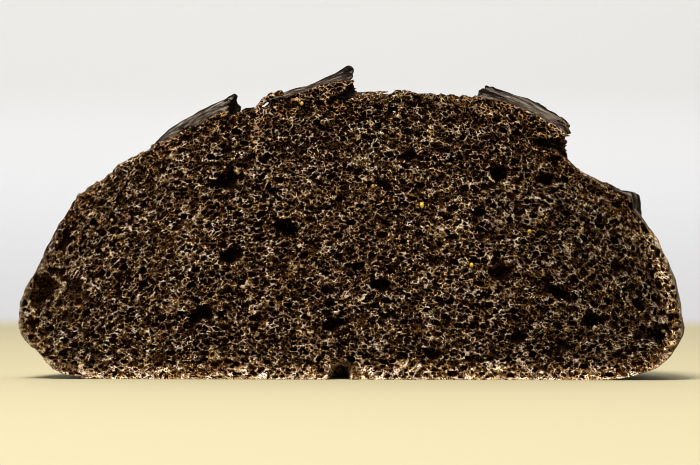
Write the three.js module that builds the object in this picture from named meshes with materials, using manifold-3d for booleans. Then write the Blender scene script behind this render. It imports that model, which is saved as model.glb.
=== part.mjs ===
// A dark carob boule sliced down to its widest part: a round hearth loaf with a flat base, a domed crust
// opened by parallel slashes, crust flaps that lifted between them, and one flat cut face full of holes.
// Millimetres, +Z up. The cut face looks along -Y, and +X is to the right as it is seen.
import * as THREE from "three";
import { mergeVertices } from "three/addons/utils/BufferGeometryUtils.js";
import Module from "manifold-3d";

// Driving dimensions of the whole loaf
const LOAF_WIDTH = 212.4; // across the belly, as the mean of all directions
const BELLY_HEIGHT = 17; // height of that widest line
const DOME_HEIGHT = 75.2; // from the belly to the crown
const HEEL_RUN = 26; // how far the rounded lower edge runs in under the belly
const CUT_AHEAD = 6; // distance of the cut in front of the loaf's axis

// How the loaf departs from a true round: waves round its plan, as a share of the radius
const PLAN_WAVES = [
  { turns: 2, share: 0.03, phase: 0.87 },
  { turns: 3, share: 0.005, phase: 2.1 },
  { turns: 5, share: 0.004, phase: 4.0 },
];

// Where the crust sank before it set, how far, and over what reach: under the left flap, at the left shoulder
// and at the left heel
const SAGS = [
  { x: -51, z: 80, by: 3.6, over: 13 },
  { x: -101, z: 41, by: 3.2, over: 15 },
  { x: -104, z: 8, by: 3.4, over: 8 },
];

// Each slash opened into a long pointed gap that runs back from the cut: where its middle crosses the cut,
// its width there, how far it lies under the dome at its left and right edges and how far back it runs
const SLASHES = [
  { at: -76, width: 23, depth: [1.6, 1.6], length: 64 },
  { at: -33.4, width: 12, depth: [1.2, 1.2], length: 84 },
  { at: 21.2, width: 38.6, depth: [-1.0, -4.2], length: 92 },
  { at: 77.0, width: 15.4, depth: [2.2, 2.2], length: 60 },
];
const SLASH_DRIFT = 0.03; // how far the slashes move to the right for each millimetre back
const SLASH_FULL = 24; // distance behind the cut over which a gap keeps its width
const SLASH_EDGE = 3; // run of the slope between a gap and the skin beside it
const SLASH_CLOSING = 14; // length over which a gap's far end runs out
const SLASH_LOWEST = 36; // the gaps have faded out at this height
const SLASH_FADE = 14; // height over which they fade
// How far a gap's edges stray sideways, in long and short waves
const EDGE_STRAY = [
  { by: 1.2, over: 9 },
  { by: 0.6, over: 4.3 },
];
// How far a surface stands up and down, and the size of its bumps: torn crumb in a gap, plain crust, a flap's
// top and the torn wall under a flap's edge
const TORN_RELIEF = { by: 1.5, over: 8 };
const SKIN_RELIEF = { by: 0.6, over: 24 };
const FLAP_RELIEF = { by: 0.5, over: 9 };
const WALL_RELIEF = { by: 0.9, over: 3 };

// Each crust flap, from left to right between two gaps: how far its left and right edges stand off the dome
// at the cut and where they stand highest behind it, how far its middle bulges above the line between them
// (negative where it is cupped), and how far each edge hangs over its torn wall (negative where the wall's
// foot runs out beyond it)
const FLAPS = [
  { atCut: [-1.8, -1.0], behind: [-1.6, -0.8], bulge: -0.2, lip: [0, 1.0] },
  { atCut: [-3.4, -3.2], behind: [-0.4, 5.8], bulge: 1.0, lip: [0.4, 2.0] },
  { atCut: [-0.4, 2.6], behind: [3.0, 10.0], bulge: -1.2, lip: [1.2, 5.0] },
  { atCut: [2.8, 3.8], behind: [10.4, 8.2], bulge: 0.9, lip: [1.2, 4.6] },
  { atCut: [-1.6, 1.2], behind: [-1.4, 3.4], bulge: -0.4, lip: [0.4, -3.0] },
];
const OUTER_FLAP_WIDTH = 6.2; // width of the first and last flap, which have a gap on one side only
const EAR_PEAK = 16; // distance behind the cut at which a flap's edges stand highest
const EAR_SPREAD = 16; // half the length over which they stay high
const EAR_REST = 0.45; // share of that height kept further back
const FLAP_AHEAD = 12; // how far a flap ran on in front of the cut
const FLAP_ROOT = 4; // depth of a flap's buried underside below the dome
const FLAP_SINKING = 0.3; // share of a flap's run over which its far end sinks back into the dome
const LIP_SHARE = 0.45; // upper share of a flap's side that leans out as its lip
const FLAP_STEPS = { across: 8, along: 22, up: 4 };

// The largest holes that the cut opened: centre, half width, half height and lean of each on the cut face
const LARGE_HOLES = [
  { x: -100.5, z: 29, wide: 3.3, tall: 7.0, lean: -12 },
  { x: -92.8, z: 45, wide: 2.4, tall: 4.2, lean: -18 },
  { x: -89.5, z: 30, wide: 3.6, tall: 2.7, lean: 10 },
  { x: -39.5, z: 66, wide: 4.2, tall: 3.2, lean: 0 },
  { x: -38.5, z: 41, wide: 3.4, tall: 2.3, lean: 12 },
  { x: -48.5, z: 21, wide: 3.4, tall: 2.7, lean: 15 },
  { x: -20.5, z: 50, wide: 5.0, tall: 2.9, lean: -25 },
  { x: -4.8, z: 18, wide: 3.2, tall: 2.9, lean: 0 },
  { x: 11, z: 31, wide: 3.3, tall: 2.4, lean: 0 },
  { x: 48.5, z: 67, wide: 3.6, tall: 3.4, lean: -30 },
  { x: 48.5, z: 35, wide: 4.2, tall: 2.5, lean: -8 },
  { x: 68.5, z: 28, wide: 4.8, tall: 2.4, lean: -35 },
  { x: 79.5, z: 19.5, wide: 3.3, tall: 2.2, lean: 5 },
  { x: 94.5, z: 24.5, wide: 2.0, tall: 3.4, lean: 12 },
  { x: 98.5, z: 14, wide: 1.8, tall: 3.0, lean: 10 },
];
// The middling holes between them, scattered by a seeded draw
const HOLE_COUNT = 22;
const HOLE_HALF_WIDTH = [1.9, 2.9];
const HOLE_FLATNESS = 0.68; // height of a middling hole over its width
const HOLE_MARGIN = 7; // least distance of a middling hole from the crust
const HOLE_SPACING = 9; // least distance between the middles of two holes
const HOLE_DEPTH = 1.25; // depth of a hole over its lesser half size
const HOLE_SINK = 0.25; // how far a hole's middle lies behind the cut, over its depth
const HOLE_LEAN = 45; // greatest lean of a middling hole, where it follows the crust at the loaf's shoulder
const HOLE_UNEVENNESS = 0.3; // how far a hole departs from an ellipsoid, over its size
const HOLE_STEPS = { round: 10, down: 6 };
const SEED = 7;

// The seam under the loaf, left by shaping: a small tapering tunnel that shows as a notch in the cut face
const SEAM = { x: -3.1, width: 9, height: 6.5, length: 34, sides: 9 };

const BODY_STEPS = { round: 64, down: 46 };
const HEEL_STEPS = 0.62; // share of the lower half's steps that the rounded heel takes
const CUTTER_SIZE = 400; // side of the block that stands for all that was sliced away

const wasm = await Module();
wasm.setup();

// A closed three.js geometry as a solid that can be joined and cut
function solidOf(geometry) {
  const bare = geometry.clone();
  bare.deleteAttribute("normal");
  bare.deleteAttribute("uv");
  const merged = mergeVertices(bare, 1e-4);
  return new wasm.Manifold(
    new wasm.Mesh({
      numProp: 3,
      vertProperties: new Float32Array(merged.attributes.position.array),
      triVerts: new Uint32Array(merged.index.array),
    }),
  );
}

// A solid as a three.js geometry
function geometryOf(solid) {
  const mesh = solid.getMesh();
  return new THREE.BufferGeometry()
    .setAttribute("position", new THREE.BufferAttribute(mesh.vertProperties, 3))
    .setIndex(new THREE.BufferAttribute(mesh.triVerts, 1));
}

// Moves every vertex of a geometry to where a function puts it
function reshape(geometry, place) {
  const positions = geometry.attributes.position;
  const point = new THREE.Vector3();
  for (let i = 0; i < positions.count; i++) {
    point.fromBufferAttribute(positions, i);
    place(point);
    positions.setXYZ(i, point.x, point.y, point.z);
  }
  return geometry;
}

// A seeded source of even random numbers from 0 to 1
function randomFrom(seed) {
  let state = seed;
  return () => {
    state = (state + 0x6d2b79f5) | 0;
    let t = Math.imul(state ^ (state >>> 15), 1 | state);
    t = (t + Math.imul(t ^ (t >>> 7), 61 | t)) ^ t;
    return ((t ^ (t >>> 14)) >>> 0) / 4294967296;
  };
}

// Smooth, uneven relief at a place: how far the surface stands up or down there
function relief(x, y, z, { by, over }) {
  const [a, b, c] = [x / over, y / over, z / over];
  const coarse = Math.sin(1.9 * a + 1.3 * b + 0.4) * Math.sin(1.7 * b - 1.1 * c);
  const fine = Math.sin(4.3 * a - 2.9 * c + 1.7) * Math.sin(3.7 * b + 3.1 * c);
  return by * (0.6 * coarse + 0.4 * fine);
}

// The loaf's plan radius in a direction
function planRadius(angle) {
  let share = 1;
  for (const wave of PLAN_WAVES) share += wave.share * Math.sin(wave.turns * angle + wave.phase);
  return (LOAF_WIDTH / 2) * share;
}

// Height of the plain dome over a point of the plan
function domeHeight(x, y) {
  const out = Math.hypot(x, y) / planRadius(Math.atan2(y, x));
  return BELLY_HEIGHT + DOME_HEIGHT * Math.sqrt(Math.max(0, 1 - out * out));
}

// Outward direction of the plain dome over a point of the plan
function domeNormal(x, y) {
  const step = 0.5;
  const slopeX = (domeHeight(x + step, y) - domeHeight(x - step, y)) / (2 * step);
  const slopeY = (domeHeight(x, y + step) - domeHeight(x, y - step)) / (2 * step);
  return new THREE.Vector3(-slopeX, -slopeY, 1).normalize();
}

// How far a gap's edge strays sideways at a distance behind the cut
function wander(along, phase) {
  let stray = 0;
  for (const { by, over } of EDGE_STRAY) stray += by * (Math.sin(along / over + phase) - Math.sin(phase));
  return stray;
}

// The left and right edges of a gap at a distance behind the cut
function gapEdges(slash, along) {
  const closing = THREE.MathUtils.clamp((along - SLASH_FULL) / (slash.length - SLASH_FULL), 0, 1);
  const half = (slash.width / 2) * Math.sqrt(1 - closing * closing);
  const middle = slash.at + SLASH_DRIFT * along;
  return [middle - half + wander(along, slash.at), middle + half + wander(along, slash.at + 2)];
}

// How fully a point of the crust lies in a gap, from 0 to 1, and how deep that gap is
function gapAt(x, y, z) {
  const along = y + CUT_AHEAD;
  let found = { share: 0, depth: 0 };
  for (const slash of SLASHES) {
    const [left, right] = gapEdges(slash, along);
    const beside = Math.max(left - x, x - right);
    const within = 1 - THREE.MathUtils.smoothstep(beside, -SLASH_EDGE / 2, SLASH_EDGE / 2);
    const open = THREE.MathUtils.smoothstep(slash.length - along, 0, SLASH_CLOSING);
    const across = THREE.MathUtils.clamp((x - left) / (right - left), 0, 1);
    const depth = THREE.MathUtils.lerp(...slash.depth, across);
    if (within * open > found.share) found = { share: within * open, depth };
  }
  found.share *= THREE.MathUtils.smoothstep(z, SLASH_LOWEST, SLASH_LOWEST + SLASH_FADE);
  return found;
}

// How far the crust sank at a place
function sunkAt({ x, z }) {
  let sunk = 0;
  for (const sag of SAGS) sunk += sag.by * Math.exp(-((x - sag.x) ** 2 + (z - sag.z) ** 2) / sag.over ** 2);
  return sunk;
}

// The whole loaf without its flaps: dome, belly, rounded heel and flat base, with the gaps in its dome
function loafBody() {
  const ball = new THREE.SphereGeometry(1, BODY_STEPS.round, BODY_STEPS.down);
  return reshape(ball, (p) => {
    const angle = Math.atan2(p.y, p.x);
    const radius = planRadius(angle);
    const fromTop = Math.acos(THREE.MathUtils.clamp(p.z, -1, 1)) / (Math.PI / 2);
    let out;
    let height;
    if (fromTop <= 1) {
      out = radius * Math.sin((fromTop * Math.PI) / 2);
      height = BELLY_HEIGHT + DOME_HEIGHT * Math.cos((fromTop * Math.PI) / 2);
    } else if (fromTop - 1 < HEEL_STEPS) {
      const turn = ((fromTop - 1) / HEEL_STEPS) * (Math.PI / 2);
      out = radius - HEEL_RUN * (1 - Math.cos(turn));
      height = BELLY_HEIGHT * (1 - Math.sin(turn));
    } else {
      out = ((radius - HEEL_RUN) * (2 - fromTop)) / (1 - HEEL_STEPS);
      height = 0;
    }
    const outward = new THREE.Vector3(Math.cos(angle), Math.sin(angle), 0);
    p.copy(outward).multiplyScalar(out).setZ(height);
    if (fromTop < 1) {
      const gap = gapAt(p.x, p.y, p.z);
      const torn = relief(p.x, p.y, p.z, TORN_RELIEF) - gap.depth;
      const skin = relief(p.x, p.y, p.z, SKIN_RELIEF) - sunkAt(p);
      p.addScaledVector(domeNormal(p.x, p.y), THREE.MathUtils.lerp(skin, torn, gap.share));
    } else if (height > 0) {
      p.addScaledVector(outward, -sunkAt(p));
    }
  });
}

// How high the edges of a flap stand, as a share of their greatest height, at a distance behind the cut
function earShare(along) {
  const away = (along - EAR_PEAK) / EAR_SPREAD;
  const rest = along > EAR_PEAK ? EAR_REST : 0;
  return rest + (1 - rest) * Math.exp(-away * away);
}

// The left and right edges of a flap at a distance behind the cut
function flapEdges(place, along) {
  const left = place > 0 ? gapEdges(SLASHES[place - 1], along)[1] : undefined;
  const right = place < SLASHES.length ? gapEdges(SLASHES[place], along)[0] : undefined;
  return [left ?? right - OUTER_FLAP_WIDTH, right ?? left + OUTER_FLAP_WIDTH];
}

// How far back a flap runs: as far as the shorter gap beside it
function flapEnd(place) {
  const beside = SLASHES.slice(Math.max(0, place - 1), place + 1);
  return Math.min(...beside.map((slash) => slash.length));
}

// One crust flap, a curved slab that lies along the gaps with its underside buried in the dome
function crustFlap({ atCut, behind, bulge, lip }, place) {
  const slab = new THREE.BoxGeometry(1, 1, 1, FLAP_STEPS.across, FLAP_STEPS.along, FLAP_STEPS.up);
  const end = flapEnd(place);
  return reshape(slab, (p) => {
    const side = 2 * p.x;
    const back = p.y + 0.5;
    const up = p.z + 0.5;
    const along = THREE.MathUtils.lerp(-FLAP_AHEAD, end, back);
    const edge = Math.abs(side) ** 6;
    const leaning = THREE.MathUtils.smoothstep(up, 1 - LIP_SHARE, 1);
    const undercut = edge * (1 - leaning) * (side > 0 ? lip[1] : lip[0]);
    const [from, to] = flapEdges(place, along);
    const width = to - from;
    const onWall = edge === 1 && up > 0 && up < 1;
    const ragged = onWall ? relief(along, up * width, from, WALL_RELIEF) : 0;
    const x = (from + to) / 2 + (side * width) / 2 - Math.sign(side) * undercut + ragged;
    const y = along - CUT_AHEAD;
    const ear = earShare(along);
    const left = THREE.MathUtils.lerp(atCut[0], behind[0], ear);
    const right = THREE.MathUtils.lerp(atCut[1], behind[1], ear);
    const domed = THREE.MathUtils.lerp(left, right, (side + 1) / 2) + bulge * ear * (1 - side * side);
    const crinkle = relief(x, y, 0, FLAP_RELIEF);
    const sinking = THREE.MathUtils.smoothstep(back, 1 - FLAP_SINKING, 1);
    const raised = THREE.MathUtils.lerp(domed + crinkle, -FLAP_ROOT / 2, sinking);
    p.set(x, y, domeHeight(x, y));
    p.addScaledVector(domeNormal(x, y), THREE.MathUtils.lerp(-FLAP_ROOT, raised, up));
  });
}

// One hole in the cut face: an uneven ellipsoid whose middle lies a little behind the cut
function crumbHole({ x, z, wide, tall, lean }) {
  const ball = new THREE.SphereGeometry(1, HOLE_STEPS.round, HOLE_STEPS.down);
  const depth = HOLE_DEPTH * Math.min(wide, tall);
  const uneven = { by: HOLE_UNEVENNESS, over: 2 / 3 };
  reshape(ball, (p) => p.multiplyScalar(1 + relief(p.x + x, p.y, p.z + z, uneven)));
  ball.scale(wide, depth, tall);
  ball.rotateY(THREE.MathUtils.degToRad(-lean));
  return ball.translate(x, -CUT_AHEAD + HOLE_SINK * depth, z);
}

// The middling holes, kept apart from each other, from the large holes and from the crust
function middlingHoles() {
  const random = randomFrom(SEED);
  const placed = [...LARGE_HOLES];
  const reach = LOAF_WIDTH / 2;
  while (placed.length < LARGE_HOLES.length + HOLE_COUNT) {
    const x = (2 * random() - 1) * reach;
    const z = HOLE_MARGIN + random() * (BELLY_HEIGHT + DOME_HEIGHT);
    const wide = THREE.MathUtils.lerp(...HOLE_HALF_WIDTH, random());
    const clearOfCrust = domeHeight(x * 1.08, -CUT_AHEAD) - z > HOLE_MARGIN && z > HOLE_MARGIN;
    const apart = placed.every((other) => Math.hypot(other.x - x, other.z - z) > HOLE_SPACING);
    const lean = -HOLE_LEAN * (x / reach) * (z / DOME_HEIGHT);
    if (clearOfCrust && apart) placed.push({ x, z, wide, tall: wide * HOLE_FLATNESS, lean });
  }
  return placed.slice(LARGE_HOLES.length);
}

// The tapering tunnel of the seam, lying along the base from the cut inwards
function seamTunnel() {
  const cone = new THREE.ConeGeometry(1, SEAM.length, SEAM.sides);
  cone.scale(SEAM.width / 2, 1, SEAM.height);
  return cone.translate(SEAM.x, -CUT_AHEAD + SEAM.length / 2 - 1, 0);
}

// All that was sliced away in front of the cut
function slicedAway() {
  const block = new THREE.BoxGeometry(CUTTER_SIZE, CUTTER_SIZE, CUTTER_SIZE);
  return block.translate(0, -CUT_AHEAD - CUTTER_SIZE / 2, 0);
}

function cutLoaf() {
  let loaf = solidOf(loafBody());
  FLAPS.forEach((flap, place) => (loaf = loaf.add(solidOf(crustFlap(flap, place)))));
  loaf = loaf.subtract(solidOf(slicedAway()));
  loaf = loaf.subtract(solidOf(seamTunnel()));
  for (const hole of [...LARGE_HOLES, ...middlingHoles()]) loaf = loaf.subtract(solidOf(crumbHole(hole)));
  return geometryOf(loaf);
}

// The origin is under the middle of the loaf's box, on the surface that it stands on
function standOnOrigin(geometry) {
  geometry.computeBoundingBox();
  const { min, max } = geometry.boundingBox;
  return geometry.translate(-(min.x + max.x) / 2, -(min.y + max.y) / 2, -min.z);
}

const carobBread = new THREE.MeshStandardMaterial({ color: 0x3d2d1e, roughness: 0.9, metalness: 0 });
const loaf = new THREE.Mesh(standOnOrigin(cutLoaf()), carobBread);
loaf.name = "loaf";

const part = new THREE.Group();
part.add(loaf);
export default part;
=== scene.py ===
"""A dark carob boule with its first slices cut away, seen square on to the cut face.

The bread is carved in a level set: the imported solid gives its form, and pores, torn crumb and crust
relief are cut into that form. A fine mesh carries the cut face and the torn gaps near it, and a coarser
one carries the rest of the crust. Lengths are in millimetres up to the making of a mesh.
"""
import itertools
import math

import bmesh
import bpy
import numpy as np
import openvdb
from mathutils import Euler, Matrix, Vector
from mathutils.bvhtree import BVHTree


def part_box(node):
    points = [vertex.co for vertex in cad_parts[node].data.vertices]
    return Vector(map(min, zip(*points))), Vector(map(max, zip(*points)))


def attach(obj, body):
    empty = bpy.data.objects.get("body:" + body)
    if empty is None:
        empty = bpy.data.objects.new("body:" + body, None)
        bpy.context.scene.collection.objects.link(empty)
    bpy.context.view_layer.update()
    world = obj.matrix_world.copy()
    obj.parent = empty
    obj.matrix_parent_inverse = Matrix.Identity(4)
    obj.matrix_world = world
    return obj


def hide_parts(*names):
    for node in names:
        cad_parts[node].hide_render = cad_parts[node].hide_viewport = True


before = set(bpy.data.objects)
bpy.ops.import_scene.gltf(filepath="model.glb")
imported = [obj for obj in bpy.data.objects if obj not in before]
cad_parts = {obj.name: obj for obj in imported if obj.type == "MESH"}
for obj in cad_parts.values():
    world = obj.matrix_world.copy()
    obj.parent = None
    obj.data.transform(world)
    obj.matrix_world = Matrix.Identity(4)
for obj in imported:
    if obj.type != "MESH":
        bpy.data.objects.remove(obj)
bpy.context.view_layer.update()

MM = 0.001
LOW, HIGH = (np.array(corner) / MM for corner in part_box("loaf"))
CUT_Y = LOW[1]
AXIS_Y = CUT_Y + 6.0  # the loaf's upright axis lies this far behind the cut
MERGE_DISTANCE = 0.001  # corners of the solid closer than this are one
CUT_TOLERANCE = 0.01  # a corner closer than this to the cut's plane lies in it
FAR = 99.0  # beyond any distance that matters here
SEED = 11

# The plain dome under the crust
BELLY_HEIGHT = 17.0
DOME_HEIGHT = 75.2
DOME_RADIUS = 106.2

# The slashes that opened into gaps: where each middle crosses the cut, its width there and its length
SLASHES = [
    {"at": -76.0, "width": 23.0, "length": 64.0},
    {"at": -33.4, "width": 12.0, "length": 84.0},
    {"at": 21.2, "width": 38.6, "length": 92.0},
    {"at": 77.0, "width": 15.4, "length": 60.0},
]
SLASH_DRIFT = 0.03  # how far a gap drifts to the right for each millimetre back
SLASH_FULL = 24.0  # a gap keeps its full width this far behind the cut
SLASH_CLOSING = 14.0  # length over which a gap ends
SLASH_LOWEST = 36.0  # no gap reaches below this height
SLASH_FADE = 14.0  # height over which a gap comes in
EDGE_STRAY = [(1.2, 9.0), (0.6, 4.3)]  # waves of a gap's edge: how wide and how long
EDGE_PHASE = 2  # how far the right edge's waves run before the left's
FLAP_UNDERCUT = 6.5  # greatest reach of a torn wall under the flap beside a gap
TORN_INSET = 0.4  # torn crumb starts this far inside a gap's edge
TORN_OPEN = 0.35  # and where the gap is at least this open
TORN_FACING = 0.35  # a face near a gap that looks outwards less than this is a torn wall
SEAM_X = -3.2  # the seam under the loaf: its middle, half width, lowest and highest point and length
SEAM_HALF = 5.2
SEAM_LOWEST = 0.2
SEAM_HEIGHT = 7.2
SEAM_LENGTH = 33.0
CREST = 15.5  # the flaps stand highest this far behind the cut

# Voxel sizes, and how far behind the cut the fine mesh hands over to the coarse one
FINE = 0.38
COARSE = 0.8
FINE_MARGIN = 1.5
COARSE_MARGIN = 3.0
SHELL_VOXELS = 4.0  # depth of a level set on either side of its surface
FACE_HANDOVER = 9.0
TOP_HANDOVER = 27.0
TOP_RISE = (40.0, 58.0)  # heights between which the handover moves back
OVERLAP = 2.2  # half the depth over which the two meshes cross
OVERLAP_END = 0.5  # the fine mesh ends this far behind the crossing
TUCK = 0.6  # how far each mesh sinks under the other past the crossing
CORE_FRONT = 6.6  # the coarse mesh starts this far behind the cut
PIECE_TRIANGLES = 190000
# Spacing at which distances to a surface are worked out, along each axis
SURFACE_STEP = (1.5, 3.0, 1.5)
HOLE_STEP = (1.2, 4.0, 1.2)
BACK_STEP = (2.4, 2.4, 2.4)
INSIDE_LAST = 1.001  # keeps a blended place inside the last pair of points

# Cells of the crumb, from large to small: how many darts are thrown, the range of mean radii, how far apart
# their middles stay as a share of the radius, and how deep behind the cut they lie
CELLS = [
    {"darts": 480, "radius": (1.3, 2.8), "apart": 1.4, "deep": 1.4},
    {"darts": 1500, "radius": (0.8, 1.3), "apart": 1.3, "deep": 1.1},
    {"darts": 26000, "radius": (0.42, 0.72), "apart": 1.0, "deep": 0.8},
]
CELL_STRETCH = 1.35  # length of a cell along the crust over its depth
CELL_FLATNESS = 0.78  # its height over its depth
CELL_TURN = 0.25  # spread of the cells' lean
CELL_REACH = 0.9  # a cell's wall is looked for this far beyond its radius
CELL_UNSEEN = 1.5  # the distance to a cell that counts where none is near
CELL_LEAD = 0.8  # cells start this far before the cut
CELL_PROBE = 1.2  # whether a cell lies in the bread is read no closer to the cut than this
CELL_OUTSIDE = 0.1  # and it may lie this far outside the solid
CELL_BY_CRUST = 0.62  # share of its radius that a cell has next to the crust
CELL_GROWTH = (1.5, 9.0)  # depths under the crust between which cells grow to their full radius
LEAN_FLOOR = 0.12  # the dome's share of height below which a pore's lean no longer grows
WALL = 0.2  # mean thickness of the wall between two cells
SOLID_BEYOND = 0.6  # bread further than this from every cell is solid
FOAM_DEPTH = 3.4  # no cells are carved deeper than this
FOAM_FADE = 1.0  # depth over which they end
FOAM_FILL = 3.0  # how firmly they are filled there
RIND = 0.3  # mean thickness of the crust that no cell reaches into

# Random lumps: the strength, size and seed of each layer
WALL_LUMPS = [(0.2, 1.7, 1), (0.14, 1.0, 2)]  # where a wall's thickness falls below nothing it has broken
RIND_LUMPS = [(0.35, 2.4, 3)]
CUT_LUMPS = [(0.32, 3.2, 4), (0.2, 1.6, 5)]
TORN_LUMPS = [(0.8, 4.5, 6), (0.45, 2.0, 7)]
HOLE_LUMPS = [(1.1, 3.4, 13), (0.7, 1.5, 14)]
CRUST_LUMPS = [(0.5, 6.0, 8), (0.18, 1.8, 9)]
CRUST_FOLDS = [(0.3, (9.0, 1.2, 9.0), 10), (0.3, (14.0, 2.6, 14.0), 15)]
RIDGE_LUMPS = [(0.25, (4.0, 9.0, 4.0), 16)]
LIP_LUMPS = [(0.8, 2.6, 11), (0.5, 1.2, 12)]
BACK_TORN_LUMPS = [(0.8, 4.5, 21), (0.5, 2.2, 22)]
BACK_CRUST_LUMPS = [(0.2, 6.0, 23), (0.1, 2.2, 24)]
PIT_SIZE = (3.4, 2.8, 2.8)
PIT_SEED = 25
PIT_DEPTH = 2.6
PIT_START = 0.08
# Depths between which each relief comes in or ends
CRUMB_START = (0.6, 1.6)
TORN_REACH = (1.5, 4.0)
HOLE_REACH = (0.8, 3.2)
LIP_REACH = (0.8, 2.6)
BACK_TORN_START = (-0.5, 2.0)
STANDING = (0.5, 4.0)  # heights between which relief comes in above the flat base
LIP_GAIN = 0.1  # the ragged lips of the crust stand out this much further
RIDGE = 0.4  # mean height of the ridge along the crest, and its half width
RIDGE_HALF = 1.5

# Slits and shallow caves that the cut opened beside the round holes: both ends on the cut face, as x and z,
# and half the width
SLITS = [
    {"ends": ((-3.8, 17.0), (-3.0, 4.0)), "half": 0.9},
    {"ends": ((-8.4, 16.6), (-0.2, 19.8)), "half": 1.1},
    {"ends": ((-2.6, 22.2), (-6.0, 15.4)), "half": 1.0},
    {"ends": ((-104.8, 20.4), (-103.6, 15.4)), "half": 1.0},
    {"ends": ((97.0, 7.4), (100.2, 5.2)), "half": 0.5},
    {"ends": ((103.0, 17.8), (103.4, 14.8)), "half": 0.9},
    {"ends": ((99.5, 16.6), (101.0, 11.8)), "half": 1.8},
    {"ends": ((60.5, 77.6), (71.0, 76.2)), "half": 1.9},
    {"ends": ((64.0, 71.6), (69.5, 72.4)), "half": 1.0},
    {"ends": ((-6.0, 91.6), (2.6, 92.8)), "half": 1.3},
]
SLIT_DEPTH = 2.6  # depth of a slit over its half width
SLIT_TAPER = 0.5  # share of its width that a slit loses towards its ends
# Strands of crumb across the caves, beside the flaps and at the left outline: the points of each on the cut
# face, as x and z, and half the thickness
STRANDS = [
    {"line": ((-98.0, 22.8), (-93.2, 31.6)), "half": 0.6},
    {"line": ((-30.6, 87.4), (-29.2, 90.0), (-26.4, 92.4), (-22.6, 93.4)), "half": 0.9},
    {"line": ((0.4, 95.0), (3.4, 93.8), (5.6, 93.6), (6.9, 95.4)), "half": 0.75},
    {"line": ((30.0, 91.5), (35.2, 91.0), (40.4, 90.8)), "half": 1.5},
    {"line": ((-89.8, 56.8), (-88.4, 60.2)), "half": 0.75},
]
STRAND_DEPTH = 4.0  # a strand is looked for this many half thicknesses deep
LINE_MARGIN = 1.0  # a slit or strand is looked for this far beyond its half width
# Unevenness of slits and strands: share of the half width, and turns for each millimetre along x and z
SLIT_WAVES = [(0.25, 5.0, 2.0), (0.2, -3.0, 7.0)]
STRAND_WAVES = [(0.2, 1.7, 1.1), (0.12, 4.3, -2.9)]

# The yellow grains that stand out most on the cut face, as x, z and radius, and how many small ones there are
GRAINS = [(23.4, 56.9, 0.85), (58.4, 48.4, 0.6), (39.6, 37.4, 0.65), (-15.8, 90.0, 0.6), (-78.0, 52.0, 0.5)]
SMALL_GRAINS = 14
SMALL_GRAIN_RADIUS = (0.2, 0.42)
GRAIN_LOW = (-0.9, 0.05)  # shares of the dome's radius and the loaf's height between which small ones lie
GRAIN_HIGH = (0.9, 0.95)
GRAIN_WITHIN = 0.85  # share of the dome's outline, squared, inside which they lie
GRAIN_DEEP = 1.5  # a grain sits on crumb no deeper than this
GRAIN_NEAR = 1.5  # and within this many radii of its middle
GRAIN_NEAR_MORE = 0.3
GRAIN_LEVEL = 0.3  # share of that crumb that lies before it
GRAIN_SUNK = 0.2  # share of its radius that it is sunk
GRAIN_SHAPE = (1.15, 1.0, 0.85, 1.0)
GRAIN_SEED = 40
GRAIN_MOTTLE = 0.8  # size of its colour's mottle

# How dark the crumb is painted: painted shade in its depths and under the flaps
SHADE_DEPTH_LIMIT = 2.4  # the crumb's painted shade deepens with depth as far as this
FLAP_SHADOW = 1.6  # painted shadow: torn walls under the flaps are as dark as crumb this much deeper
FLAP_SHADOW_EDGE = 1.0  # half the width over which the painted shadow starts at a gap's edge
FLAP_SHADOW_FADE = 2.0  # width over which it ends under the flap
FLAP_SHADOW_TORN = (1.0, 3.0)  # depths behind the torn wall between which it ends
FLAP_SHADOW_START = (0.5, 1.6)  # depths behind the cut between which it starts
SPOT_CORE = 0.7  # share of a spot's reach inside which it counts in full
# The two caves at the left whose smooth lining takes less painted shade and shows paler: x, z and reach
LINED_CAVES = [(-100.5, 29.0, 9.0), (-89.5, 30.0, 6.5)]
LINED_SHADE_LIMIT = 1.1
# Where the crust is torn off under the right flap: x, z and reach, how far back, and the depth that
# it counts as
BARE_SPOTS = [(68.4, 73.6, 5.0)]
BARE_LENGTH = 14.0
BARE_DEPTH = 2.0


def smooth(value, low, high):
    """An even rise from 0 at low to 1 at high."""
    share = np.clip((value - low) / (high - low), 0.0, 1.0)
    return share * share * (3.0 - 2.0 * share)


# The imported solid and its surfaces


def loaf_form():
    """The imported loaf's mesh, merged, in millimetres."""
    form = bmesh.new()
    form.from_mesh(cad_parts["loaf"].data)
    bmesh.ops.scale(form, vec=Vector((1.0, 1.0, 1.0)) / MM, verts=form.verts)
    bmesh.ops.remove_doubles(form, verts=form.verts, dist=MERGE_DISTANCE)
    return form


def wander(along, phase):
    """How far a gap's edge strays sideways at a distance behind the cut."""
    return sum(by * (np.sin(along / over + phase) - math.sin(phase)) for by, over in EDGE_STRAY)


def gap_reach(points):
    """How far each point lies inside the nearest gap's edges, negative outside, and how open the gap is."""
    along = points[:, 1] - CUT_Y
    best = np.full(len(points), -FAR)
    open_share = np.zeros(len(points))
    for slash in SLASHES:
        closing = np.clip((along - SLASH_FULL) / (slash["length"] - SLASH_FULL), 0.0, 1.0)
        half = slash["width"] / 2 * np.sqrt(1.0 - closing * closing)
        middle = slash["at"] + SLASH_DRIFT * along
        left = middle - half + wander(along, slash["at"])
        right = middle + half + wander(along, slash["at"] + EDGE_PHASE)
        inside = np.minimum(points[:, 0] - left, right - points[:, 0])
        nearer = inside > best
        best[nearer] = inside[nearer]
        open_share[nearer] = smooth(slash["length"] - along, 0.0, SLASH_CLOSING)[nearer]
    open_share *= smooth(points[:, 2], SLASH_LOWEST, SLASH_LOWEST + SLASH_FADE)
    return best, open_share


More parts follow.
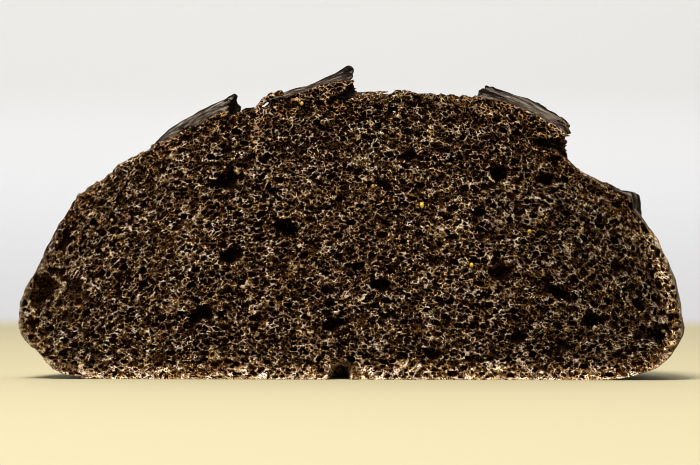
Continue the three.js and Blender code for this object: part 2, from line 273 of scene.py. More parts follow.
def dome_normals(points):
    """Outward directions of the plain dome at points of it."""
    normals = np.column_stack([
        points[:, 0] / DOME_RADIUS ** 2,
        (points[:, 1] - AXIS_Y) / DOME_RADIUS ** 2,
        np.maximum(points[:, 2] - BELLY_HEIGHT, 0.0) / DOME_HEIGHT ** 2,
    ])
    return normals / np.linalg.norm(normals, axis=1)[:, None]


def on_cut(face):
    """Whether a face lies in the plane of the cut."""
    return all(abs(v.co.y - CUT_Y) < CUT_TOLERANCE for v in face.verts)


def outer_faces(form):
    """The faces of the crust and gaps: the largest set that hangs together once the cut face is gone."""
    form.faces.ensure_lookup_table()
    seen = [on_cut(face) for face in form.faces]
    largest = []
    for first in form.faces:
        if seen[first.index]:
            continue
        seen[first.index] = True
        group = [first]
        for face in group:
            for edge in face.edges:
                for other in edge.link_faces:
                    if not seen[other.index]:
                        seen[other.index] = True
                        group.append(other)
        if len(group) > len(largest):
            largest = group
    return largest


def surface_trees():
    """Search trees of the loaf's skin, of its torn crumb and of the holes in its cut face."""
    form = loaf_form()
    faces = outer_faces(form)
    middles = np.array([face.calc_center_median() for face in faces])
    normals = np.array([face.normal for face in faces])
    inside, open_share = gap_reach(middles)
    facing = np.einsum("ij,ij->i", normals, dome_normals(middles))
    wall = (inside > -FLAP_UNDERCUT) & (facing < TORN_FACING)
    torn = ((inside > TORN_INSET) | wall) & (open_share > TORN_OPEN)
    in_seam = (np.abs(middles[:, 0] - SEAM_X) < SEAM_HALF) & (middles[:, 1] < CUT_Y + SEAM_LENGTH)
    torn |= in_seam & (middles[:, 2] > SEAM_LOWEST) & (middles[:, 2] < SEAM_HEIGHT)
    outer = set(faces)
    groups = [
        [face for face, pick in zip(faces, torn) if not pick],
        [face for face, pick in zip(faces, torn) if pick],
        [face for face in form.faces if face not in outer and not on_cut(face)],
    ]
    corners = [tuple(v.co) for v in form.verts]
    trees = []
    for group in groups:
        polygons = [[v.index for v in face.verts] for face in group]
        trees.append(BVHTree.FromPolygons(corners, polygons))
    form.free()
    return trees


def distances(tree, points):
    """Distance from each point to a surface, negative outside the bread."""
    result = np.empty(len(points), dtype=np.float32)
    for place, point in enumerate(points):
        spot = Vector(point)
        nearest, normal, _, away = tree.find_nearest(spot)
        result[place] = away if (spot - nearest).dot(normal) < 0 else -away
    return result


# Fields on a lattice of points


class Lattice:
    """The points of a box, one voxel apart."""

    def __init__(self, low, high, voxel):
        self.voxel = voxel
        self.first = np.floor(np.array(low) / voxel).astype(int)
        last = np.ceil(np.array(high) / voxel).astype(int)
        self.axes = [np.arange(a, b + 1, dtype=np.float32) * voxel for a, b in zip(self.first, last)]
        self.shape = tuple(len(axis) for axis in self.axes)

    def spread(self, axis):
        """One axis's places, shaped to combine with a field."""
        shape = [1, 1, 1]
        shape[axis] = -1
        return self.axes[axis].reshape(shape)

    def at(self, points):
        """Indices of the lattice points nearest to some places."""
        index = np.rint(points / self.voxel).astype(int) - self.first
        return tuple(np.clip(index, 0, np.array(self.shape) - 1).T)

    def widely(self, gaps):
        """Axes that cover the lattice, with wider gaps between their places."""
        return [np.arange(axis[0] - gap, axis[-1] + 2 * gap, gap) for axis, gap in zip(self.axes, gaps)]


def stretched(field, axes, lattice, soft):
    """A field on wide-spaced axes, blended to every point of a lattice."""
    for number, (wide, close) in enumerate(zip(axes, lattice.axes)):
        place = np.clip((close - wide[0]) / (wide[1] - wide[0]), 0.0, len(wide) - INSIDE_LAST)
        below = place.astype(int)
        share = place - below
        if soft:
            share = share * share * (3.0 - 2.0 * share)
        weights = np.zeros((len(close), len(wide)), dtype=np.float32)
        rows = np.arange(len(close))
        weights[rows, below] = 1.0 - share
        weights[rows, below + 1] = share
        field = np.moveaxis(np.tensordot(weights, field, axes=(1, number)), 0, number)
    return np.ascontiguousarray(field)


def lumps(lattice, size, seed):
    """Smooth random lumps of a size, or of one along each axis, from -1 to 1, all over a lattice."""
    axes = lattice.widely(np.broadcast_to(size, 3))
    draw = np.random.default_rng(SEED + seed).uniform(-1.0, 1.0, [len(axis) for axis in axes])
    return stretched(draw.astype(np.float32), axes, lattice, soft=True)


def relief(lattice, layers, start=0.0):
    """Layers of random lumps on top of one another and of a start."""
    return sum((by * lumps(lattice, size, seed) for by, size, seed in layers), start)


def surface_field(tree, lattice, step):
    """Distance to a surface all over a lattice, worked out every few millimetres."""
    axes = lattice.widely(step)
    points = np.stack(np.meshgrid(*axes, indexing="ij"), axis=-1)
    away = distances(tree, points.reshape(-1, 3)).reshape(points.shape[:3])
    return stretched(away, axes, lattice, soft=False)


def solid_field(form, lattice):
    """Signed distance to a closed form, a few voxels deep on either side. The form is used up."""
    bmesh.ops.triangulate(form, faces=form.faces)
    points = np.array([v.co for v in form.verts], dtype=np.float32)
    triangles = np.array([[v.index for v in face.verts] for face in form.faces], dtype=np.uint32)
    form.free()
    transform = openvdb.createLinearTransform(voxelSize=lattice.voxel)
    grid = openvdb.FloatGrid.createLevelSetFromPolygons(
        points, triangles=triangles, transform=transform, halfWidth=SHELL_VOXELS
    )
    field = np.empty(lattice.shape, dtype=np.float32)
    grid.copyToArray(field, ijk=tuple(int(i) for i in lattice.first))
    return field


def sampled(field, lattice, points):
    """A field's values at some places, blended from the eight lattice points round each."""
    place = points / lattice.voxel - lattice.first
    place = np.clip(place, 0.0, np.array(lattice.shape) - INSIDE_LAST)
    below = place.astype(int)
    share = place - below
    total = np.zeros(len(points), dtype=np.float32)
    for corner in itertools.product((0, 1), repeat=3):
        weight = np.prod(np.where(corner, share, 1.0 - share), axis=1)
        total += weight * field[tuple((below + corner).T)]
    return total


def handover(height):
    """How far behind the cut the fine mesh ends, at a height."""
    return FACE_HANDOVER + (TOP_HANDOVER - FACE_HANDOVER) * smooth(height, *TOP_RISE)


def skin_of(field, lattice):
    """The surface of a field as points and quads, with its faces turned outwards."""
    grid = openvdb.FloatGrid(background=float(field.max()))
    grid.transform = openvdb.createLinearTransform(voxelSize=lattice.voxel)
    grid.copyFromArray(field, ijk=tuple(int(i) for i in lattice.first))
    points, _, quads = grid.convertToPolygons(isovalue=0.0, adaptivity=0.0)
    quads = quads.astype(np.int64)
    a, b, c, d = (points[quads[:, i]] for i in range(4))
    volume = np.einsum("ij,ij->i", a, np.cross(b, c) + np.cross(c, d)).sum()
    if volume < 0:
        quads = quads[:, ::-1]
    return points, quads


def compact(points, quads):
    """Only the points that the quads use, and the quads on them."""
    used, fresh = np.unique(quads, return_inverse=True)
    return points[used], fresh.reshape(quads.shape), used


def main_part(points, quads):
    """The largest piece of a mesh that hangs together."""
    starts = quads.ravel()
    ends = np.roll(quads, 1, axis=1).ravel()
    label = np.arange(len(points))
    while True:
        lower = np.minimum(label[starts], label[ends])
        fresh = label.copy()
        np.minimum.at(fresh, starts, lower)
        np.minimum.at(fresh, ends, lower)
        fresh = fresh[fresh]
        if np.array_equal(fresh, label):
            break
        label = fresh
    kept = label == np.bincount(label).argmax()
    points, quads, _ = compact(points, quads[kept[quads[:, 0]]])
    return points, quads


# The crumb


def pore_lean(point):
    """Angle at which a pore lies: along the crust near it, and level in the loaf's middle and base."""
    x = point[0] / DOME_RADIUS
    z = max(point[2] - BELLY_HEIGHT, 0.0) / DOME_HEIGHT
    near = min(x * x + z * z, 1.0)
    return math.atan2(-x * DOME_HEIGHT, max(z, LEAN_FLOOR) * DOME_RADIUS) * near if z > 0 else 0.0


def carve_cell(first, second, lattice, point, radius, lean):
    """Joins one flattened cell to the fields of the nearest and the next cell."""
    reach = int((radius * CELL_STRETCH + CELL_REACH) / lattice.voxel) + 1
    middle = np.rint(point / lattice.voxel).astype(int) - lattice.first
    start = np.maximum(middle - reach, 0)
    stop = np.minimum(middle + reach + 1, lattice.shape)
    window = tuple(slice(a, b) for a, b in zip(start, stop))
    dx = (lattice.axes[0][window[0]] - point[0])[:, None, None]
    dy = (lattice.axes[1][window[1]] - point[1])[None, :, None]
    dz = (lattice.axes[2][window[2]] - point[2])[None, None, :]
    turn, rise = math.cos(lean), math.sin(lean)
    along = (dx * turn + dz * rise) / CELL_STRETCH
    across = (dz * turn - dx * rise) / CELL_FLATNESS
    away = np.sqrt(along * along + across * across + dy * dy) - radius
    near = first[window]
    next_near = second[window]
    np.minimum(next_near, np.maximum(near, away), out=next_near)
    np.minimum(near, away, out=near)


def line_window(lattice, ends, half, deep):
    """The lattice round a line on the cut face: window, places, and how far along and aside they lie."""
    first, last = (np.array(end, dtype=np.float32) for end in ends)
    low = np.minimum(first, last) - (half + LINE_MARGIN)
    high = np.maximum(first, last) + (half + LINE_MARGIN)
    columns = np.flatnonzero((lattice.axes[0] > low[0]) & (lattice.axes[0] < high[0]))
    rows = np.flatnonzero((lattice.axes[2] > low[1]) & (lattice.axes[2] < high[1]))
    layers = np.flatnonzero(np.abs(lattice.axes[1] - CUT_Y) < deep * half)
    x = lattice.axes[0][columns][:, None, None]
    depth = (lattice.axes[1][layers] - CUT_Y)[None, :, None]
    z = lattice.axes[2][rows][None, None, :]
    run = last - first
    share = np.clip(((x - first[0]) * run[0] + (z - first[1]) * run[1]) / (run @ run), 0.0, 1.0)
    aside = np.hypot(x - first[0] - share * run[0], z - first[1] - share * run[1])
    return np.ix_(columns, layers, rows), (x, depth, z), share, aside


def uneven(x, z, waves, start):
    """A value that strays from a start in waves over the cut face."""
    return sum((by * np.sin(along * x + up * z) for by, along, up in waves), start)


def carve_slit(body, lattice, ends, half):
    """Cuts one pointed, uneven slit into a field, from the cut face inwards."""
    window, (x, depth, z), share, aside = line_window(lattice, ends, half, SLIT_DEPTH)
    width = half * (1.0 - SLIT_TAPER * np.abs(2.0 * share - 1.0)) + uneven(x, z, SLIT_WAVES, 0.0) * half
    body[window] = np.maximum(body[window], width - np.hypot(aside, depth / SLIT_DEPTH))


def add_strand(field, lattice, ends, half):
    """Joins one thin, uneven strand to a field, just behind the cut face."""
    window, (x, depth, z), _, aside = line_window(lattice, ends, half, STRAND_DEPTH)
    width = half * uneven(x, z, STRAND_WAVES, 1.0)
    field[window] = np.minimum(field[window], np.hypot(aside, depth - half) - width)


def foam_walls(lattice, body, skin, torn):
    """Distance to the walls between the cells of the crumb: negative in a wall."""
    draw = np.random.default_rng(SEED)
    first = np.full(lattice.shape, CELL_UNSEEN, dtype=np.float32)
    second = np.full(lattice.shape, CELL_UNSEEN, dtype=np.float32)
    low = np.array([axis[0] for axis in lattice.axes])
    high = np.array([axis[-1] for axis in lattice.axes])
    for size in CELLS:
        face_low = (low[0], CUT_Y - CELL_LEAD, low[2])
        face_high = (high[0], CUT_Y + size["deep"], high[2])
        top_low = (low[0], CUT_Y + size["deep"], SLASH_LOWEST)
        face_darts = draw.uniform(face_low, face_high, (size["darts"], 3))
        top_darts = draw.uniform(top_low, high, (size["darts"], 3))
        for darts, limit in ((face_darts, FAR), (top_darts, size["deep"])):
            inner = darts.copy()
            inner[:, 1] = np.maximum(inner[:, 1], CUT_Y + CELL_PROBE)
            spot = lattice.at(inner)
            held = (body[spot] < CELL_OUTSIDE) & (skin[spot] > RIND) & (torn[spot] < limit)
            radii = draw.uniform(*size["radius"], len(darts))
            radii *= CELL_BY_CRUST + (1.0 - CELL_BY_CRUST) * smooth(skin[spot], *CELL_GROWTH)
            places = np.stack(lattice.at(darts), axis=1)
            turns = draw.normal(0.0, CELL_TURN, len(darts))
            for place in np.flatnonzero(held):
                if first[tuple(places[place])] > size["apart"] * radii[place]:
                    lean = pore_lean(darts[place]) + turns[place]
                    carve_cell(first, second, lattice, darts[place], radii[place], lean)
    thickness = relief(lattice, WALL_LUMPS, WALL)
    return np.minimum((second - first - thickness) / 2, SOLID_BEYOND - first)


def front_solid(lattice):
    """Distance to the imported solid, cut off and closed behind the fine mesh."""
    form = loaf_form()
    back = Vector((0.0, CUT_Y + TOP_HANDOVER + 4 * OVERLAP, 0.0))
    everything = form.verts[:] + form.edges[:] + form.faces[:]
    bmesh.ops.bisect_plane(form, geom=everything, plane_co=back, plane_no=(0, 1, 0), clear_outer=True)
    bmesh.ops.holes_fill(form, edges=[edge for edge in form.edges if edge.is_boundary])
    return solid_field(form, lattice)


def front_crust(lattice, depth, height):
    """Relief of the crust near the cut: lumps, folds along the cut, and a ridge along the flaps' crest."""
    crust = relief(lattice, CRUST_LUMPS) + relief(lattice, CRUST_FOLDS)
    ridge = relief(lattice, RIDGE_LUMPS, RIDGE)
    crust -= ridge * np.exp(-((depth - CREST) / RIDGE_HALF) ** 2) * smooth(height, *TOP_RISE)
    return crust * smooth(height, *STANDING)


def fine_crumb(skin_tree, torn_tree, hole_tree):
    """The fine mesh: the cut face with its pores, the rim of the crust and the front of the torn gaps."""
    back = CUT_Y + TOP_HANDOVER + 2 * OVERLAP
    lattice = Lattice(LOW - FINE_MARGIN, (HIGH[0] + FINE_MARGIN, back, HIGH[2] + FINE_MARGIN), FINE)
    body = front_solid(lattice)
    skin = surface_field(skin_tree, lattice, SURFACE_STEP)
    torn = surface_field(torn_tree, lattice, SURFACE_STEP)
    hole = surface_field(hole_tree, lattice, HOLE_STEP)
    depth = lattice.spread(1) - CUT_Y
    height = lattice.spread(2)
    walls = foam_walls(lattice, body, skin, torn)
    walls = np.minimum(walls, skin - relief(lattice, RIND_LUMPS, RIND))
    walls -= FOAM_FILL * smooth(np.minimum(depth, torn), FOAM_DEPTH - FOAM_FADE, FOAM_DEPTH)
    crumb = smooth(skin, *CRUMB_START)
    rough = relief(lattice, CUT_LUMPS)
    rough += crumb * (1.0 - smooth(torn, *TORN_REACH)) * relief(lattice, TORN_LUMPS)
    rough += (1.0 - smooth(np.abs(hole), *HOLE_REACH)) * relief(lattice, HOLE_LUMPS)
    body += rough * crumb
    body += (1.0 - crumb) * front_crust(lattice, depth, height)
    lips = (1.0 - smooth(np.abs(torn), *LIP_REACH)) * (1.0 - smooth(np.abs(skin), *LIP_REACH))
    body += lips * (relief(lattice, LIP_LUMPS) - LIP_GAIN)
    for slit in SLITS:
        carve_slit(body, lattice, slit["ends"], slit["half"])
    limit = handover(height)
    body += TUCK * smooth(depth, limit - OVERLAP, limit + OVERLAP)
    field = np.maximum(body, walls)
    for strand in STRANDS:
        for ends in itertools.pairwise(strand["line"]):
            add_strand(field, lattice, ends, strand["half"])
    points, quads = skin_of(field, lattice)
    behind = points[:, 1] - CUT_Y > handover(points[:, 2]) + OVERLAP + OVERLAP_END
    points, quads, _ = compact(points, quads[~behind[quads].any(axis=1)])
    points, quads = main_part(points, quads)
    return points, quads, *(sampled(values, lattice, points) for values in (skin, torn))


def coarse_crust(skin_tree, torn_tree):
    """The coarse mesh: all the crust and torn crumb further back, closed at its front inside the loaf."""
    lattice = Lattice(LOW - COARSE_MARGIN, HIGH + COARSE_MARGIN, COARSE)
    body = solid_field(loaf_form(), lattice)
    skin = surface_field(skin_tree, lattice, BACK_STEP)
    torn = surface_field(torn_tree, lattice, BACK_STEP)
    depth = lattice.spread(1) - CUT_Y
    height = lattice.spread(2)
    torn_share = smooth(np.abs(skin) - np.abs(torn), *BACK_TORN_START)
    standing = smooth(height, *STANDING)
    body += standing * torn_share * relief(lattice, BACK_TORN_LUMPS)
    body += standing * (1.0 - torn_share) * relief(lattice, BACK_CRUST_LUMPS)
    holes = np.maximum(lumps(lattice, PIT_SIZE, PIT_SEED) - PIT_START, 0.0)
    pits = PIT_DEPTH * standing * torn_share * holes
    body += pits
    limit = handover(height)
    body += TUCK * (1.0 - smooth(depth, limit - OVERLAP, limit + OVERLAP))
    points, quads = skin_of(np.maximum(body, CORE_FRONT - depth), lattice)
    points, quads = main_part(points, quads)
    return points, quads, *(sampled(values, lattice, points) for values in (skin, torn, pits))


# Pieces of the loaf


def joined(piece):
    """Puts a finished piece into the scene as part of the loaf."""
    bpy.context.scene.collection.objects.link(piece)
    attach(piece, "root")
    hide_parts("loaf")
    return piece


def bread_piece(name, points, quads, skin, shade_depth):
    """A mesh object from points and quads, with each point's depth under the skin and its painted shade
    depth.
    """
    mesh = bpy.data.meshes.new(name)
    mesh.vertices.add(len(points))
    mesh.vertices.foreach_set("co", (points * MM).astype(np.float32).ravel())
    mesh.loops.add(quads.size)
    mesh.loops.foreach_set("vertex_index", quads.astype(np.int32).ravel())
    mesh.polygons.add(len(quads))
    mesh.polygons.foreach_set("loop_start", np.arange(0, quads.size, 4, dtype=np.int32))
    mesh.polygons.foreach_set("use_smooth", np.ones(len(quads), dtype=bool))
    # the second attribute carries the painted shade of the crumb
    for title, values in (("skin", skin), ("shade_depth", shade_depth)):
        layer = mesh.attributes.new(title, "FLOAT", "POINT")
        layer.data.foreach_set("value", values.astype(np.float32))
    mesh.update(calc_edges=True)
    mesh.validate()
    return joined(bpy.data.objects.new(name, mesh))


def split_pieces(name, points, quads, skin, shade_depth, material):
    """A mesh as several pieces side by side, each of few enough triangles."""
    middles = points[quads[:, 0], 0]
    count = math.ceil(len(quads) * 2 / PIECE_TRIANGLES)
    borders = np.quantile(middles, np.linspace(0.0, 1.0, count + 1))
    borders[-1] += 1.0
    for number in range(count):
        chosen = (middles >= borders[number]) & (middles < borders[number + 1])
        part_points, part_quads, used = compact(points, quads[chosen])
        piece = bread_piece(f"{name}_{number + 1}", part_points, part_quads, skin[used], shade_depth[used])
        piece.data.materials.append(material)


def grain_piece(points, material):
    """Yellow grains that sit in the front of the crumb, joined into one mesh."""
    draw = np.random.default_rng(SEED + GRAIN_SEED)
    spots = [*GRAINS]
    while len(spots) < len(GRAINS) + SMALL_GRAINS:
        x, z = draw.uniform(GRAIN_LOW, GRAIN_HIGH) * (DOME_RADIUS, BELLY_HEIGHT + DOME_HEIGHT)
        if (x / DOME_RADIUS) ** 2 + (max(z - BELLY_HEIGHT, 0.0) / DOME_HEIGHT) ** 2 < GRAIN_WITHIN:
            spots.append((x, z, draw.uniform(*SMALL_GRAIN_RADIUS)))
    front = points[points[:, 1] < CUT_Y + GRAIN_DEEP]
    form = bmesh.new()
    for x, z, radius in spots:
        away = np.hypot(front[:, 0] - x, front[:, 2] - z)
        near = front[away < GRAIN_NEAR * radius + GRAIN_NEAR_MORE]
        if not len(near):
            continue
        place = Vector((x, np.quantile(near[:, 1], GRAIN_LEVEL) + GRAIN_SUNK * radius, z)) * MM
        turn = Euler(draw.uniform(0.0, math.pi, 3)).to_matrix().to_4x4()
        spot = Matrix.Translation(place) @ turn @ Matrix.Diagonal(GRAIN_SHAPE)
        bmesh.ops.create_icosphere(form, subdivisions=3, radius=radius * MM, matrix=spot)
    mesh = bpy.data.meshes.new("grains")
    form.to_mesh(mesh)
    form.free()
    mesh.polygons.foreach_set("use_smooth", np.ones(len(mesh.polygons), dtype=bool))
    mesh.materials.append(material)
    joined(bpy.data.objects.new("grains", mesh))


def painted_shade_depth(points, torn):
    """Painted shade as a depth in the crumb for each point, from the distance to the cut and to torn crumb.
    """
    torn = np.abs(torn)
    depth = points[:, 1] - CUT_Y
    limit = np.full(len(points), SHADE_DEPTH_LIMIT)
    for x, z, reach in LINED_CAVES:
        away = np.hypot(points[:, 0] - x, points[:, 2] - z)
        limit = np.minimum(limit, LINED_SHADE_LIMIT + SHADE_DEPTH_LIMIT * smooth(away, SPOT_CORE * reach, reach))
    inside, open_share = gap_reach(points)
    # painted shadow under the flaps, on the torn walls just behind the cut
    under_flap = smooth(inside, -FLAP_UNDERCUT - FLAP_SHADOW_FADE, -FLAP_UNDERCUT)
    flap_shadow = smooth(-inside, -FLAP_SHADOW_EDGE, FLAP_SHADOW_EDGE) * under_flap * open_share
    flap_shadow *= (1.0 - smooth(torn, *FLAP_SHADOW_TORN)) * smooth(depth, *FLAP_SHADOW_START)
    return np.clip(depth, 0.0, np.minimum(torn, limit)) + FLAP_SHADOW * flap_shadow


def skin_depth(points, skin):
    """How deep each point counts as lying under the crust: deeper where the crust is torn off."""
    depth = np.abs(skin)
    for x, z, reach in BARE_SPOTS:
        away = np.hypot(points[:, 0] - x, points[:, 2] - z)
        near = (1.0 - smooth(away, SPOT_CORE * reach, reach)) * (points[:, 1] < CUT_Y + BARE_LENGTH)
        depth = depth + BARE_DEPTH * near
    return depth


def bread_pieces(material):
    """All meshes of the loaf."""
    skin_tree, torn_tree, hole_tree = surface_trees()
    points, quads, skin, torn = fine_crumb(skin_tree, torn_tree, hole_tree)
    grain_piece(points, grain_material())
    split_pieces("crumb", points, quads, skin_depth(points, skin), painted_shade_depth(points, torn), material)
    points, quads, skin, torn, pits = coarse_crust(skin_tree, torn_tree)
    # the crust's pits get painted shade as deep as they are carved
    split_pieces("crust", points, quads, np.abs(skin), painted_shade_depth(points, torn) + pits, material)


# Materials


def linear(red, green, blue):
    """A colour given as screen values from 0 to 255, as the shader takes it."""
    parts = []
    for value in (red, green, blue):
        share = value / 255.0
        parts.append(share / 12.92 if share <= 0.04045 else ((share + 0.055) / 1.055) ** 2.4)
    return (*parts, 1.0)


class Nodes:
    """Short ways to add and join the nodes of one tree."""

    def __init__(self, tree):
        self.tree = tree

    def give(self, socket, source):
        """Joins another node's output to a socket, or sets the socket's own value."""
        if isinstance(source, bpy.types.NodeSocket):
            self.tree.links.new(source, socket)
        else:
            socket.default_value = source

    def add(self, kind, links=(), **settings):
        """A node of a kind, with its settings and what each of its sockets gets."""
        node = self.tree.nodes.new(kind)
        for key, value in settings.items():
            setattr(node, key, value)
        for socket, source in dict(links).items():
            self.give(node.inputs[socket], source)
        return node

    def math(self, operation, first, second=0.0, clamp=False):
        """One step of arithmetic."""
        node = self.add("ShaderNodeMath", {0: first, 1: second}, operation=operation, use_clamp=clamp)
        return node.outputs[0]

    def plus(self, first, second, clamp=False):
        """The sum of two values."""
        return self.math("ADD", first, second, clamp)

    def minus(self, first, second):
        """The first value less the second."""
        return self.math("SUBTRACT", first, second)

    def times(self, first, second):
        """The product of two values."""
        return self.math("MULTIPLY", first, second)

    def place(self):
        """Places on the piece, in metres."""
        return self.add("ShaderNodeTexCoord").outputs["Object"]

    def axes(self, vector):
        """The three parts of a vector."""
        return self.add("ShaderNodeSeparateXYZ", {"Vector": vector}).outputs

    def scaled(self, vector, scale):
        """A vector scaled along each axis."""
        return self.add("ShaderNodeMapping", {"Vector": vector, "Scale": scale}).outputs["Vector"]

    def noise(self, place, size, detail=2.0, roughness=0.55):
        """Soft random patches of a size in millimetres, from 0 to 1."""
        links = {"Vector": place, "Scale": 1.0 / (size * MM), "Detail": detail, "Roughness": roughness}
        return self.add("ShaderNodeTexNoise", links).outputs["Fac"]

    def step(self, value, low, high):
        """An even rise from 0 at low to 1 at high, or a fall where low is the greater."""
        links = {"Value": value, "From Min": low, "From Max": high}
        return self.add("ShaderNodeMapRange", links, interpolation_type="SMOOTHSTEP").outputs["Result"]

    def blend(self, share, first, second):
        """A value that goes from the first to the second."""
        return self.plus(first, self.times(share, self.minus(second, first)))

    def mix(self, share, first, second, blend="MIX"):
        """Two colours blended."""
        node = self.add("ShaderNodeMix", data_type="RGBA", blend_type=blend)
        for socket, source in ((0, share), (6, first), (7, second)):
            self.give(node.inputs[socket], source)
        return node.outputs[2]

    def ramp(self, value, stops):
        """A colour that follows a value through its stops."""
        node = self.add("ShaderNodeValToRGB", {"Fac": value})
        elements = node.color_ramp.elements
        while len(elements) < len(stops):
            elements.new(1.0)
        for element, (place, colour) in zip(elements, stops):
            element.position = place
            element.color = colour
        return node.outputs["Color"]


def toned(stops):
    """The stops of a ramp whose colours are given as screen values."""
    return [(place, linear(*colour)) for place, colour in stops]


# Crumb tones from a painted highlight on a cell wall's edge down to painted shade deep in the cell
CRUMB_LIGHT_TO_SHADE_TONES = toned([
    (0.0, (222, 209, 193)),
    (0.15, (163, 143, 121)),
    (0.36, (92, 67, 39)),
    (0.6, (39, 18, 4)),
    (1.0, (12, 3, 0)),
])
# Tones of the dense band of crumb just under the crust of the flanks
BAND_TONES = toned([
    (0.38, (58, 42, 26)),
    (0.62, (150, 128, 98)),
])
# Tones of the crust from bare to floury
CRUST_TONES = toned([
    (0.34, (12, 7, 4)),
    (0.45, (35, 27, 20)),
    (0.54, (76, 66, 55)),
    (0.68, (134, 122, 107)),
])
GRAIN_TONES = toned([
    (0.3, (176, 132, 40)),
    (0.7, (232, 200, 78)),
])
# Factors for broad patches of the crumb
PATCH_FACTORS = [
    (0.36, (0.7, 0.61, 0.52, 1.0)),
    (0.52, (1.0, 0.92, 0.83, 1.0)),
    (0.66, (1.15, 1.18, 1.22, 1.0)),
]
# Factors for its rusty to greyish tints
TINT_FACTORS = [
    (0.4, (1.12, 1.03, 0.68, 1.0)),
    (0.5, (1.04, 1.0, 0.92, 1.0)),
    (0.58, (0.97, 0.97, 1.02, 1.0)),
]
# Factors for the streaks near the top crust
STREAK_FACTORS = [
    (0.36, (0.46, 0.36, 0.26, 1.0)),
    (0.62, (1.6, 1.38, 1.12, 1.0)),
]
# How much paler the rim along the base is: denser crumb and painted bounce light from the floor
RIM_PALE_AND_LIGHT_FACTOR = (2.0, 2.05, 2.1, 1.0)
# Painted shade over the crumb at the right and at the top
SIDE_SHADE_FACTOR = (0.7, 0.7, 0.7, 1.0)

# Patterns as size in millimetres, detail and roughness. A pair of values is where a mask starts and where
# it is full: depths under the crust and in the crumb are in millimetres, places on the loaf in metres
FLOW_RADIUS = 1.04  # the crumb's rows bend over a dome this much wider than the loaf's
FLOW_BEND = 0.8  # how far they follow it
FLOW_WIDTH = 0.84
GRAIN_PATTERN = (0.5, 2.0, 0.6)
CELL_SIZE = 1.15  # width of the finest cells and half their wall as a share of it, and the same by the rim
CELL_WALL = 0.16
RIM_CELL_SIZE = 0.8
RIM_CELL_WALL = 0.27
WALL_CORE = 0.4  # share of a wall's width that is bright
WALL_UNEVEN = 0.4
GLINT_SIZE = 0.8  # spacing of the painted highlights, where their edge lies and which of them show
GLINT_EDGE = (0.36, 0.18)
GLINT_SHOWN = (0.5, 0.6)
GLINT_RISE = 0.55
NET_PATTERN = (8.0, 1.0)  # patches where painted shade shows the cells as a dark net
NET_SPREAD = (0.4, 0.58)
NET_DEPTHS = (0.3, 0.56)
NET_TOP = (0.055, 0.085)  # heights between which the net's painted shade deepens
NET_TOP_DEPTH = 0.16
DIM_PATTERN = (1.5, 1.0)  # small places of painted shade
DIM_SPREAD = (0.62, 0.38)
DIM_DEPTH = 0.26
CLUMP_PATTERN = (2.4, 1.0)  # clumps of closed crumb, which take less painted shade
CLUMP_SPREAD = (0.58, 0.7)
CLUMP_DEPTH = 0.5
SHADE_PER_DEPTH = 0.3  # how far a millimetre of painted shade depth goes down the crumb's tones
PATCH_PATTERN = (7.0, 3.0)
TINT_PATTERN = (3.0, 3.0, 0.7)
SHADE_RIGHT = (0.03, 0.075)  # painted shade: the crumb darker at the right and at the top
SHADE_TOP = (0.055, 0.12)
# the rim's paleness is partly denser crumb and partly painted bounce light from the floor
RIM_DEPTHS = (8.0, 2.5)  # the pale rim along the base, which climbs at the right and is weaker at the left
RIM_HEIGHTS = (0.046, 0.016)
RIM_CLIMB = 0.018
RIM_CLIMB_FROM = (0.06, 0.09)
RIM_LEFT = (-0.098, -0.066)
RIM_LEFT_SHARE = 0.25
STREAK_DEPTHS = (10.0, 2.5)  # the streaks under the top crust
STREAK_HEIGHTS = (0.046, 0.06)
STREAK_SCALE = (0.25, 0.5, 1.0)
STREAK_PATTERN = (1.3, 2.0)
STREAK_SHARE = 0.8
BAND_DEPTHS = (2.6, 0.7)  # the dense band under the crust of the flanks
BAND_HEIGHTS = (0.052, 0.036)
BAND_HOLLOWS = (1.2, 0.5)
BAND_FOOT = (0.003, 0.012)
BAND_SHARE = 0.6
FLAP_HEIGHTS = (0.05, 0.062)  # the crust of the flaps: streaks near the cut, mottled further back
FLAP_STREAK_SCALE = (0.25, 1.0, 0.25)
FLAP_STREAK_PATTERN = (1.5, 5.0, 0.7)
MOTTLE_PATTERN = (2.4, 5.0, 0.72)
MOTTLE_START = (0.014, 0.032)
CREST_START = (0.0115, 0.014)  # the bare crest of the flaps and the floury ledge before it
CREST_END = (0.024, 0.017)
CREST_BARE = 0.13
LEDGE_START = (0.0085, 0.0105)
LEDGE_END = (0.0135, 0.012)
LEDGE_FLOUR = 0.05
FLOUR_PATTERN = (17.0, 2.0)  # broad patches of flour
FLOUR_SHARE = 0.3
FLANK_HEIGHTS = (0.05, 0.02)  # the dusted flanks, further back and near the cut
FLANK_FRONT = (0.02, 0.008)
FLANK_FLOUR = (0.08, 0.2)
COVER_STRAY = 0.4  # how far grain shifts the crust's edge, where that lies, and where crust starts behind
COVER_DEPTHS = (0.8, 0.45)
COVER_START = (0.0003, 0.0011)
GRAIN_RISE = 0.5  # height of the grain over that of a cell wall
BUMP_HEIGHT = 0.0008
FLOOR_TONE = linear(170, 159, 123)
# The backdrop is painted darker near the floor as shade, and paler higher up
BACKDROP_TONES = (linear(177, 176, 178), linear(208, 209, 213))
BACKDROP_START = (0.0, 0.006)  # heights between which the backdrop comes in, and between which it pales
BACKDROP_SHADE_FADE = (0.0, 0.11)


